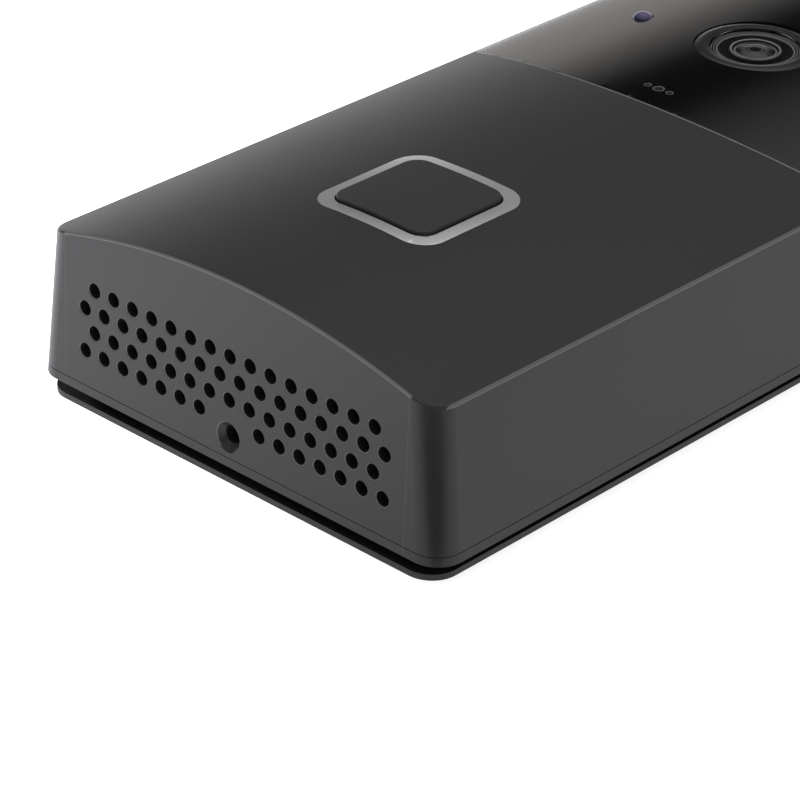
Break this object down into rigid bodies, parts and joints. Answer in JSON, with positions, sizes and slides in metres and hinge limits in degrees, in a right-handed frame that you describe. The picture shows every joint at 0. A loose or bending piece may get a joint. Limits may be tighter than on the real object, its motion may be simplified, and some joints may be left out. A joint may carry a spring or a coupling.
{
  "type": "video doorbell",
  "caption": "Battery video doorbell with a crowned front, square call button in a silver ring, camera under a gloss panel, speaker grille in its lower end and a wall bracket.",
  "frame": {"origin": "centre of the bounding box at the wall face of the bracket", "axes": "+Z out of the front face, +Y up the wall towards the camera end, +X to the right seen from the front"},
  "size_m": [0.0698, 0.1378, 0.028],
  "materials": {
    "housing_black": "satin moulded ABS",
    "panel_gloss": "high gloss acrylic",
    "ring_silver": "satin silver",
    "button_black": "fine satin",
    "bezel_gloss": "polished",
    "lens_glass": "coated optical glass",
    "barrel_black": "matt",
    "optic_glass": "coated optical glass",
    "led_violet": "infra-red pass epoxy",
    "led_white": "diffused",
    "board_green": "solder mask",
    "chip_black": "moulded epoxy",
    "shield_tin": "tinned",
    "contact_steel": "nickel plated spring steel",
    "magnet_steel": "zinc plated",
    "frame_black": "moulded",
    "cone_film": "pressed film",
    "foam_grey": "closed cell foam",
    "mesh_black": "woven acoustic mesh",
    "wire_jacket": "insulated wire",
    "flex_amber": "polyimide film",
    "seal_rubber": "silicone",
    "screw_steel": "zinc plated",
    "brass": "turned",
    "cell_wrap": "can in shrink wrap",
    "cradle_grey": "moulded",
    "bracket_black": "textured moulding"
  },
  "bodies": {
    "bracket": {"wall_bracket": "bracket_black", "thread_insert": "brass"},
    "housing": {"front_housing": "housing_black", "camera_panel": "panel_gloss", "button_ring": "ring_silver", "tact_switch": "chip_black", "ring_leds": "led_white", "button_board": "board_green", "lens_bezel": "bezel_gloss", "lens_glass": "lens_glass", "lens_barrel": "barrel_black", "front_lens": "optic_glass", "sensor_board": "board_green", "infrared_leds": "led_violet", "front_board": "board_green", "microphone": "shield_tin", "mic_gasket": "seal_rubber", "status_leds": "led_white", "main_board": "board_green", "processor_shield": "shield_tin", "wifi_module": "shield_tin", "antenna_strip": "flex_amber", "flex_cable": "flex_amber", "speaker_frame": "frame_black", "speaker_magnet": "magnet_steel", "speaker_gasket": "foam_grey", "grille_mesh": "mesh_black", "speaker_lead": "wire_jacket", "button_lead": "wire_jacket", "rear_cover": "housing_black", "cover_seal": "seal_rubber", "cover_screws": "screw_steel", "battery_door": "housing_black", "door_screws": "screw_steel", "battery_cradle": "cradle_grey", "battery_cells": "cell_wrap", "battery_contacts": "contact_steel", "usb_socket": "shield_tin", "reset_switch": "chip_black", "terminal_bushes": "brass", "terminal_screws": "screw_steel"},
    "call_button": {"button_cap": "button_black"},
    "plunger": {"switch_plunger": "frame_black"},
    "cone": {"speaker_cone": "cone_film"},
    "usb_cover": {"usb_plug": "seal_rubber"},
    "reset": {"reset_button": "seal_rubber"}
  },
  "joints": [
    {"name": "housing_release", "type": "hinge", "parent": "bracket", "child": "housing", "pos_m": [0, 0.0642, 0.00311], "axis": [-1, 0, 0], "range_deg": [0, 12]},
    {"name": "button_press", "type": "slide", "parent": "housing", "child": "call_button", "axis": [0, 0, -1], "range_m": [0, 0.0005], "stiffness_N_per_m": 3000},
    {"name": "plunger_press", "type": "slide", "parent": "housing", "child": "plunger", "axis": [0, 0, -1], "range_m": [0, 0.0005]},
    {"name": "cone_travel", "type": "slide", "parent": "housing", "child": "cone", "axis": [0, -1, 0], "range_m": [-0.0003, 0.0003], "stiffness_N_per_m": 1500},
    {"name": "usb_cover_pull", "type": "slide", "parent": "housing", "child": "usb_cover", "axis": [0, 0, -1], "range_m": [0, 0.0022]},
    {"name": "reset_press", "type": "slide", "parent": "housing", "child": "reset", "axis": [0, 0, 1], "range_m": [0, 0.00035], "stiffness_N_per_m": 1500}
  ],
  "couplings": [
    {"joint": "plunger_press", "follows": "button_press", "ratio": 1}
  ]
}
